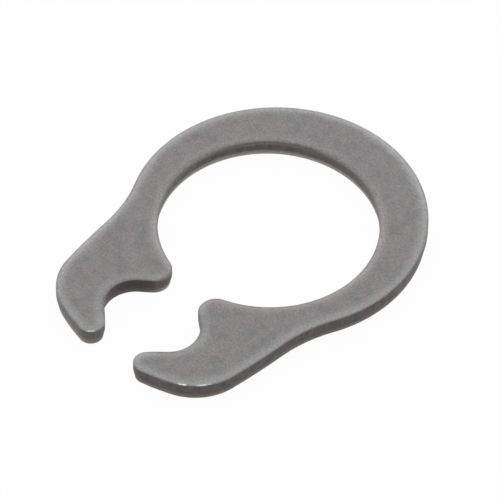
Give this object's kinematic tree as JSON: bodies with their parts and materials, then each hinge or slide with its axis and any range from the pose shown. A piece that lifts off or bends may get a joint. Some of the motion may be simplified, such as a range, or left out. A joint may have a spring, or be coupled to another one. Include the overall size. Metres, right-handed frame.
{
  "type": "circlip retaining ring",
  "caption": "Open flat spring-steel ring with hooked, notched plier lugs at its gap; it snaps into a shaft's groove and stops parts sliding off.",
  "frame": {"origin": "centre of the bore on the lower face of the ring", "axes": "+Z along the shaft's axis, towards the face whose edges the die rolled over; the gap between the lugs faces -Y; the ring is a mirror image of itself about X = 0"},
  "size_m": [0.0148, 0.0196, 0.001],
  "materials": {
    "spring_steel": "tumbled spring steel, dull mid grey with a fine mottled grain and darker sheared walls"
  },
  "bodies": {
    "root": {"retaining_ring": "spring_steel"}
  },
  "joints": []
}
